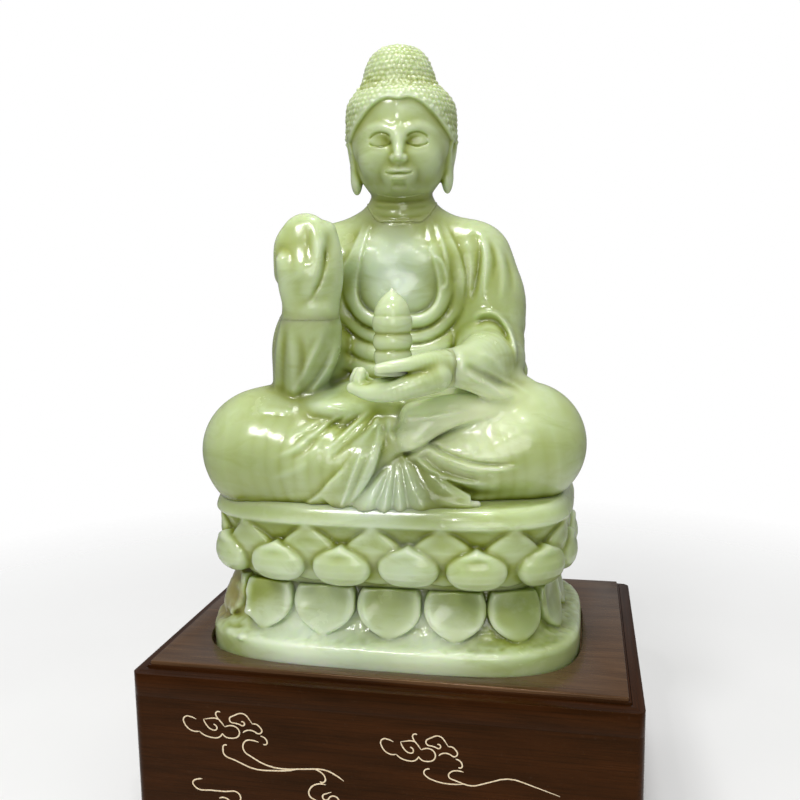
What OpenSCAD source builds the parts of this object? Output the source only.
// Seated jade Buddha on a double lotus throne, let into a wooden box plinth.
// Millimetres. Origin: centre of the plinth's footprint on the ground, +Z up, front towards -Y.

/* [Wooden stand] */
// Outer width of the stand
stand_w = 350; // [345:1:380]
// Outer depth of the stand
stand_d = 240; // [236:1:270]
// Height of the stand, from the ground to the top of its panel
stand_h = 140; // [120:1:200]
// Thickness of the four wall boards
wall_t = 14; // [10:1:18]
// Width of the moulding around the raised top panel
edge_w = 10; // [9:1:12]
// Height of the mitred top rails
rail_h = 22; // [20:1:26]
// Thickness of the top panel
panel_t = 12; // [10:1:14]

/* [Inlay] */
// Width of the inlaid lines
inlay_w = 1; // [0.8:0.1:2]
// Depth of the inlaid lines
inlay_t = 1; // [0.8:0.1:2]

/* [Lotus throne] */
// Half width of the throne's foot
foot_hw = 139; // [137:1:143]
// Half depth of the throne's foot
foot_hd = 97; // [94:1:99]
// Height of the waist between the two tiers, above the stand
waist_z = 50; // [46:1:54]
// Height of the seat, above the stand
seat_z = 111; // [108:1:114]
// Petals in the lower tier
low_petals = 16; // [12:2:18]
// Petals in each row of the upper tier
top_petals = 16; // [14:2:18]

/* [Figure] */
// Height of the neck joint, above the stand
neck_z = 306; // [304:1:308]
// Height of the top of the head, above the stand
crown_z = 435; // [430:1:440]
// Height of the top of the palm that carries the pagoda, above the stand
palm_z = 204; // [202:1:205]
// Radius of the pagoda's drum
pagoda_r = 12.5; // [11:0.5:13]
// How far the figure is turned on its throne, towards its left hand
figure_turn = 8; // [0:1:10]

/* [Hidden] */

WOOD = "#2c1a0c";
WOOD_TOP = "#43301f";
RAW_WOOD = "#a8845a";
CREAM = "#e6d3b0";
JADE = "#b5c98f";
STEEL = "silver";

pad_h = 4;                            // foot pad height, so the walls start this far up
pad_r = 9;
pad_x = stand_w / 2 - 50;
pad_y = stand_d / 2 - 32;
corner_r = 6;                         // rounding of the stand's vertical corners
rail_z = stand_h - rail_h;            // underside of the top rails
shelf_z = stand_h - panel_t;          // rebate that the top panel lies on
rail_w = 24;                          // plan width of a top rail, rebate included
shoulder_r = 8;                       // round outer shoulder of a top rail
board_t = 6;                          // bottom board
floor_t = 9;                          // board that carries the stone
felt_t = 1.5;
bearer_w = 30;
bearer_x = 70;
block_w = 20;                         // glue blocks in the corners
block_top = 100;
screw_r = 2;
screw_l = 22;
screw_head_r = 4;
screw_head_t = 2.4;
in_x = stand_w / 2 - wall_t;          // inner faces of the walls
in_y = stand_d / 2 - wall_t;
screw_x = in_x - block_w / 2;
screw_y = in_y - block_w / 2;
recess_gap = 1.5;                     // play around the stone in its recess
recess_depth = panel_t - felt_t;
throne_x = -5;                        // the throne was carved a little off the figure's axis
squareness = 3.8;                      // exponent of the throne's rounded plan
slab_hw = foot_hw - 6;
slab_hd = foot_hd;
slab_t = 10;
wrist_z = 240;                        // joint plane of the raised hand
wrist_x = 38;                         // joint plane of the open hand
pagoda_x = -2;
pagoda_y = -96;
neck_r = 24;

// ---- plan outlines ----

// Rounded plan of the throne: a superellipse that starts at the front centre
function oval(hw, hd, count = 72) = [
    for (i = [0 : count - 1])
        let (a = 360 * i / count - 90, c = cos(a), s = sin(a))
        [hw * sign(c) * pow(abs(c), 2 / squareness), hd * sign(s) * pow(abs(s), 2 / squareness)]];

// Running length along a closed outline
function run(p, i = 0, sum = [0]) =
    i == len(p) ? sum : run(p, i + 1, concat(sum, [sum[i] + norm(p[(i + 1) % len(p)] - p[i])]));

// Point and outward direction at a share of a closed outline's length
function spot(p, share) =
    let (r = run(p), s = share * r[len(p)], i = [for (k = [0 : len(p) - 1]) if (r[k + 1] > s) k][0],
         a = p[i], b = p[(i + 1) % len(p)], t = (b - a) / (r[i + 1] - r[i]))
    [a + t * (s - r[i]), atan2(-t[0], t[1])];

module rounded_plan(w, d, r) {
    square([w - 2 * r, d], center = true);
    square([w, d - 2 * r], center = true);
    for (x = [-1, 1], y = [-1, 1])
        translate([x * (w / 2 - r), y * (d / 2 - r)]) circle(r, $fn = 32);
}

// ---- wooden stand ----

// Plan of one mitred board along the front (-Y) edge of a w by d rectangle
module mitre_plan(w, d, t)
    polygon([[-w / 2, -d / 2], [w / 2, -d / 2], [w / 2 - t, -d / 2 + t], [-w / 2 + t, -d / 2 + t]]);

module wall(w, d)
    color(WOOD) intersection() {
        translate([0, 0, pad_h]) linear_extrude(rail_z - pad_h) mitre_plan(w, d, wall_t);
        translate([0, 0, pad_h]) linear_extrude(rail_z - pad_h) rounded_plan(w, d, corner_r);
    }

module front_panel()
    difference() {
        wall(stand_w, stand_d);
        cloud_inlay_left();
        cloud_inlay_right();
        wave_inlay_low();
    }
module back_panel() rotate(180) wall(stand_w, stand_d);
module left_panel() rotate(-90) wall(stand_d, stand_w);
module right_panel() rotate(90) wall(stand_d, stand_w);

// Section of a top rail: x runs inwards from the outer face, y runs up from the underside
module rail_section() {
    lip = rail_h - 4;                 // top of the round shoulder
    fillet = rail_h - 2.4;              // top of the thin fillet beside the panel
    groove = rail_h - 5.5;            // bottom of both grooves
    square([edge_w, groove]);
    square([rail_w, rail_h - panel_t]);
    square([shoulder_r, lip - shoulder_r]);
    intersection() {
        translate([shoulder_r, lip - shoulder_r]) circle(shoulder_r, $fn = 48);
        square([shoulder_r, lip]);
    }
    translate([shoulder_r + 0.6, 0]) square([1.2, fillet]);
}

module top_rail(w, d)
    color(WOOD) intersection() {
        translate([-w / 2, -d / 2, rail_z]) rotate([90, 0, 90])
            linear_extrude(w) intersection() {
                rail_section();
                square([rail_w, rail_h]);
            }
        translate([0, 0, rail_z]) linear_extrude(rail_h) mitre_plan(w, d, rail_w);
        translate([0, 0, rail_z]) linear_extrude(rail_h) rounded_plan(w, d, corner_r);
    }

module top_rail_front() top_rail(stand_w, stand_d);
module top_rail_back() rotate(180) top_rail(stand_w, stand_d);
module top_rail_left() rotate(-90) top_rail(stand_d, stand_w);
module top_rail_right() rotate(90) top_rail(stand_d, stand_w);

module top_panel()
    color(WOOD_TOP) difference() {
        translate([0, 0, shelf_z + panel_t / 2])
            cube([stand_w - 2 * edge_w, stand_d - 2 * edge_w, panel_t], center = true);
        translate([throne_x, 0, shelf_z - 1]) linear_extrude(panel_t + 2)
            polygon(oval(foot_hw + recess_gap, foot_hd + recess_gap));
    }

module recess_floor()
    color(RAW_WOOD) translate([0, 0, shelf_z - floor_t / 2])
        cube([stand_w - 2 * rail_w, stand_d - 2 * rail_w, floor_t], center = true);

module recess_felt()
    color("#4a2a20") translate([throne_x, 0, shelf_z]) linear_extrude(felt_t)
        polygon(oval(foot_hw - 1, foot_hd - 1));

module bearer(x)
    color(RAW_WOOD) translate([x - bearer_w / 2, -in_y, shelf_z - floor_t - bearer_w])
        difference() {
            cube([bearer_w, 2 * in_y, bearer_w]);
            // notches that clear the rebated rails
            for (y = [-1, 2 * in_y - (rail_w - wall_t)])
                translate([-1, y, rail_z - (shelf_z - floor_t - bearer_w)])
                    cube([bearer_w + 2, rail_w - wall_t + 1, rail_h]);
        }

module left_bearer() bearer(-bearer_x);
module right_bearer() bearer(bearer_x);

module at_corners(x, y)
    for (i = [-1, 1], j = [-1, 1]) translate([i * x, j * y, 0]) children();

module corner_blocks()
    color(RAW_WOOD) at_corners(screw_x, screw_y)
        translate([-block_w / 2, -block_w / 2, pad_h + board_t])
            cube([block_w, block_w, block_top - pad_h - board_t]);

module bottom_board()
    color(RAW_WOOD) difference() {
        translate([-in_x, -in_y, pad_h]) cube([2 * in_x, 2 * in_y, board_t]);
        at_corners(screw_x, screw_y) {
            translate([0, 0, pad_h - 1]) cylinder(r = screw_r, h = board_t + 2, $fn = 32);
            translate([0, 0, pad_h - 1]) cylinder(r = screw_head_r, h = screw_head_t + 1, $fn = 32);
        }
    }

// Pan-head wood screws, up through the bottom board into the glue blocks
module base_screws()
    color(STEEL) at_corners(screw_x, screw_y) difference() {
        union() {
            translate([0, 0, pad_h]) cylinder(r = screw_head_r, h = screw_head_t, $fn = 32);
            translate([0, 0, pad_h]) cylinder(r = screw_r, h = screw_l, $fn = 32);
        }
        for (a = [0, 90]) rotate(a) translate([-0.4, -2.2, pad_h - 1]) cube([0.8, 4.4, 2]);
    }

module foot_pads()
    color("#3b3b3b") at_corners(pad_x, pad_y) cylinder(r = pad_r, h = pad_h, $fn = 48);

// ---- inlaid lines in the front wall ----

// A drawn line as [point, heading] pairs: from a starting heading, an arc runs to each point in turn
function flow(heading, points, i = 0) =
    i + 1 == len(points) ? [[points[i], heading]] :
    let (chord = points[i + 1] - points[i],
         half = (atan2(chord[1], chord[0]) - heading + 540) % 360 - 180,   // half of the arc's angle
         steps = 1 + round(abs(half) / 8))
    concat(
        [for (k = [0 : steps - 1])
            let (t = half * k / steps, share = abs(half) < 0.1 ? k / steps : sin(t) / sin(half))
            [points[i] + norm(chord) * share * [cos(heading + t), sin(heading + t)],
             heading + 2 * t]],
        flow(heading + 2 * half, points, i + 1));

// One inlaid line, narrowing to its two ends
module line_inlay(heading, points) {
    line = flow(heading, points);
    last = len(line) - 1;
    side = [for (k = [0 : last])
        inlay_w / 2 * (k == 0 || k == last ? 0.4 : 1) * [-sin(line[k][1]), cos(line[k][1])]];
    linear_extrude(inlay_t) polygon(concat(
        [for (k = [0 : last]) line[k][0] + side[k]],
        [for (k = [last : -1 : 0]) line[k][0] - side[k]]));
}

// Lays a drawing into the front face: its x is the stand's x, its y is measured up from the top
module on_front(at)
    color(CREAM) translate([at[0], inlay_t - stand_d / 2, stand_h + at[1]]) rotate([90, 0, 0])
        children();

// Cloud head: three lobes, two curls and a wisp
module cloud_lines() {
    line_inlay(150, [[-22, 4.5], [-28, 6.5], [-32, 2], [-29, -3.5], [-20, -5.5]]);
    line_inlay(-50, [[-20, -5.5], [-15, -9], [-8, -10], [-2.5, -5.5]]);
    line_inlay(-70, [[-2.5, -5.5], [2, -9], [7, -8.5], [10.5, -3.5], [7.5, 1], [3, 1.5], [-0.5, 0]]);
    line_inlay(120, [[-0.5, 0], [-5, 6], [-7, 10], [-3.5, 12]]);
    line_inlay(150, [[-4, 5.5], [-10, 6.5], [-16.5, 5]]);
    line_inlay(-75, [[-16.5, 5], [-13, -1.5], [-8.5, -3.5], [-6.5, -1], [-9, 1.5]]);
    line_inlay(30, [[12, 5.5], [14.5, 4.5], [12, 2.5], [6, 4], [4.5, 9], [10, 12], [17, 10], [20.5, 4.5]]);
    line_inlay(20, [[20.5, 4.5], [25, 3.5], [27, 1], [23, -2.5], [13, -3.5]]);
    line_inlay(0, [[26, -5], [30, -7], [31, -10], [28, -11.5]]);
}

module cloud_inlay_left()
    on_front([-106, -38]) {
        translate([0, -1.5]) scale([0.97, 0.88, 1]) cloud_lines();
        line_inlay(160, [[24, -10.5], [17, -9.5], [12.5, -13], [15, -20], [24, -25], [40, -28.5],
            [52, -27.5], [66, -26], [76, -28], [84, -33]]);
        line_inlay(150, [[0.5, -15], [-2.5, -16.5], [-2.5, -20], [1, -24], [12, -28], [27, -31],
            [40, -30], [52, -27.5]]);
        line_inlay(-5, [[62, -26], [69, -29], [71, -33], [67, -35]]);
    }

module cloud_inlay_right()
    on_front([32, -43]) scale([0.87, 0.87, 1]) {
        cloud_lines();
        line_inlay(160, [[32, -15], [25, -14.5], [21, -17], [22.5, -21.5], [32, -24.5], [44, -24],
            [60, -18], [76, -18.5], [104, -27]]);
        line_inlay(170, [[6, -15], [2, -16.5], [2, -20], [6, -23], [16, -25.5], [26, -25.5],
            [34, -24.5]]);
    }

module wave_inlay_low()
    on_front([-125, -80]) {
        line_inlay(180, [[0, 0], [-6, -1.5], [-7, -5], [0, -8.5], [12, -8], [22, -7], [28, -11],
            [26, -15], [19, -14], [12, -13.5]]);
        line_inlay(165, [[90, 5], [82, 4], [78, -1], [80, -6], [88, -10], [100, -12.5], [114, -14]]);
        line_inlay(200, [[94, 0], [89, -2], [92, -5], [99, -8]]);
    }

// ---- carved stone ----

module blob(at, size, fn = 24) hull() translate(at) scale(size) sphere(1, $fn = fn);

module limb(a, ra, b, rb, fn = 16)
    hull() {
        translate(a) sphere(ra, $fn = fn);
        translate(b) sphere(rb, $fn = fn);
    }

// A tier's tapering core between two plans
module taper(hw1, hd1, z1, hw2, hd2, z2)
    hull() {
        translate([0, 0, z1]) linear_extrude(0.01) polygon(oval(hw1, hd1, 48));
        translate([0, 0, z2 - 0.01]) linear_extrude(0.01) polygon(oval(hw2, hd2, 48));
    }

module petal_ring(hw, hd, count, phase) {
    plan = oval(hw, hd);
    for (i = [0 : count - 1]) {
        s = spot(plan, (i + phase) / count);
        translate([s[0][0], s[0][1], 0]) rotate(s[1]) children();
    }
}

// Broad petal that hangs from the waist, its tip down and out
module hanging_petal()
    hull() {
        for (y = [-1, 1]) {
            translate([-8, y * 14, waist_z - 7]) sphere(6, $fn = 10);
            translate([-4, y * 14, waist_z - 20]) sphere(6, $fn = 10);
        }
        translate([4, 0, 18]) sphere(3, $fn = 10);
    }

// Full petal that swells from the waist, its tip up
module swelling_petal()
    hull() {
        scale([0.75, 1.25, 1]) translate([0, 0, waist_z + 19]) sphere(15, $fn = 14);
        translate([12, 0, seat_z - 27]) sphere(2.5, $fn = 8);
    }

// Petal of the row behind, with its tip against the seat slab
module rear_petal()
    hull() {
        translate([0, -16, seat_z - 28]) sphere(6, $fn = 8);
        translate([0, 16, seat_z - 28]) sphere(6, $fn = 8);
        translate([6, 0, seat_z - slab_t - 2]) sphere(3, $fn = 8);
    }

module lotus_base()
    color(JADE) translate([throne_x, 0, stand_h]) intersection() {
        union() {
            translate([0, 0, -recess_depth]) linear_extrude(recess_depth + 12)
                polygon(oval(foot_hw, foot_hd));
            taper(foot_hw, foot_hd, 12, foot_hw - 8, foot_hd - 8, 16);
            taper(foot_hw - 10, foot_hd - 12, 10, foot_hw - 24, foot_hd - 22, waist_z);
            petal_ring(foot_hw - 16, foot_hd - 18, low_petals, 0.14) hanging_petal();
        }
        translate([-200, -200, -recess_depth]) cube([400, 400, waist_z + recess_depth]);
    }

module lotus_seat()
    color(JADE) translate([throne_x, 0, stand_h]) intersection() {
        union() {
            taper(foot_hw - 24, foot_hd - 22, waist_z, slab_hw - 9, slab_hd - 8, seat_z - slab_t);
            translate([0, 0, seat_z - slab_t]) linear_extrude(slab_t)
                polygon(oval(slab_hw, slab_hd));
            petal_ring(slab_hw - 12, slab_hd - 12, top_petals, 0.5) swelling_petal();
            petal_ring(slab_hw - 9, slab_hd - 9, top_petals, 0) rear_petal();
        }
        translate([-200, -200, waist_z]) cube([400, 400, seat_z - waist_z]);
    }

// The figure's own frame: on the stand's top, turned on the throne
module figure() color(JADE) translate([0, 0, stand_h]) rotate(figure_turn) children();

module legs() {
    blob([-104, -36, 144], [41, 42, 41]);
    blob([87, -37, 148], [43, 42, 42]);
    limb([-96, -30, 147], 36, [-30, 20, 152], 38, 24);
    limb([82, -32, 150], 37, [30, 20, 152], 38, 24);
    limb([18, -66, 161], 20, [90, -42, 153], 30, 24);
    limb([-70, -58, 136], 26, [55, -60, 134], 27, 24);
    hull() {
        translate([-2, -80, 152]) sphere(8, $fn = 16);
        translate([-26, -84, 116]) sphere(6, $fn = 16);
        translate([34, -86, 116]) sphere(6, $fn = 16);
    }
}

module torso() {
    blob([0, 4, 140], [66, 50, 48]);
    blob([0, 6, 190], [60, 46, 60]);
    blob([0, 2, 258], [62, 42, 50]);
    limb([-52, 2, 280], 26, [56, 2, 281], 27, 24);
    limb([-20, 2, 296], 14, [22, 2, 296], 14);
}

module sleeves() {
    limb([-57, 0, 276], 26, [-64, -22, 206], 25, 24);
    limb([-64, -24, 208], 25, [-64, -54, 234], 20, 24);
    limb([59, 2, 278], 27, [64, -22, 222], 26, 24);
    limb([62, -26, 212], 25, [44, -76, 206], 16, 24);
}

module robed_body()
    figure() difference() {
        union() {
            legs();
            torso();
            sleeves();
        }
        // flat seat, neck socket and the two wrist joints
        translate([-200, -200, 0]) cube([400, 400, seat_z]);
        translate([0, 0, neck_z]) cylinder(r = neck_r + 1, h = 20, $fn = 48);
        translate([-110, -120, wrist_z]) cube([75, 80, 50]);
        translate([-45, -140, 187]) cube([wrist_x + 45, 84, 40]);
    }

module head()
    figure() intersection() {
        union() {
            limb([0, 0, neck_z], neck_r - 1, [0, -1, neck_z + 34], neck_r - 2, 24);
            blob([0, -3, 364], [33, 36, 43]);
            blob([0, 5, 380], [40, 41, 35]);
            blob([0, 6, crown_z - 24], [27, 28, 24]);
            limb([0, -37, 366], 3, [0, -38, 356], 4.5, 12);
            for (x = [-1, 1]) {
                limb([x * 36, 3, 368], 5, [x * 33, 3, 340], 4, 12);
                limb([x * 35, 3, 366], 5, [x * 30, 4, 362], 6, 12);
            }
        }
        translate([-60, -60, neck_z]) cube([120, 120, crown_z - neck_z]);
    }

module raised_hand()
    figure() intersection() {
        union() {
            limb([-65, -58, wrist_z - 4], 16, [-64, -60, 262], 14);
            hull() {
                translate([-71, -60, 268]) sphere(11, $fn = 16);
                translate([-56, -60, 268]) sphere(11, $fn = 16);
                translate([-63, -61, 284]) sphere(14, $fn = 16);
            }
            for (i = [0 : 3]) {
                x = -73 + 7.4 * i;
                limb([x, -61, 284], 5.5, [x + 1.5, -64, 299 + 2 * i], 5.2, 12);
                limb([x + 1.5, -64, 299 + 2 * i], 5.2, [x + 2, -72, 301 + 1.5 * i], 4.6, 12);
            }
            limb([-77, -64, 262], 6.5, [-73, -76, 284], 5, 12);
        }
        translate([-110, -120, wrist_z]) cube([90, 90, 80]);
    }

module cupped_hand()
    figure() difference() {
        union() {
            limb([wrist_x, -80, 207], 14, [20, -88, 203], 13);
            limb([20, -88, 201], 12, [-2, -94, 196], 9);
            for (i = [0 : 3]) {
                y = -110 + 9 * i;
                limb([4, y, 196], 5.6, [-20, y + 2, 194], 5, 12);
                limb([-20, y + 2, 194], 5, [-26, y + 2, 201], 4.4, 12);
            }
            limb([17, -100, 204], 7, [1, -113, 208], 5, 12);
            limb([1, -113, 208], 5, [-11, -112, 211], 4, 12);
        }
        translate([wrist_x, -140, 150]) cube([60, 100, 100]);
        translate([pagoda_x, pagoda_y, palm_z]) cylinder(r = pagoda_r + 0.5, h = 60, $fn = 48);
        translate([-60, -140, 150]) cube([160, 100, 38]);
    }

// Round pagoda: stepped plinth, drum, two ringed storeys and a pointed dome
module pagoda()
    figure() translate([pagoda_x, pagoda_y, palm_z]) {
        cylinder(r = pagoda_r, h = 4, $fn = 48);
        cylinder(r = pagoda_r - 1.2, h = 8, $fn = 48);
        cylinder(r = pagoda_r - 2.4, h = 40, $fn = 48);
        for (z = [19, 25, 33])
            translate([0, 0, z]) rotate_extrude($fn = 48)
                translate([pagoda_r - 3, 0]) circle(3, $fn = 24);
        translate([0, 0, 40]) cylinder(r1 = pagoda_r - 1.5, r2 = 6, h = 8, $fn = 48);
        translate([0, 0, 48]) cylinder(r1 = 6, r2 = 0.6, h = 8, $fn = 48);
    }

front_panel();
back_panel();
left_panel();
right_panel();
top_rail_front();
top_rail_back();
top_rail_left();
top_rail_right();
top_panel();
recess_floor();
recess_felt();
left_bearer();
right_bearer();
corner_blocks();
bottom_board();
base_screws();
foot_pads();
cloud_inlay_left();
cloud_inlay_right();
wave_inlay_low();
lotus_base();
lotus_seat();
robed_body();
head();
raised_hand();
cupped_hand();
pagoda();
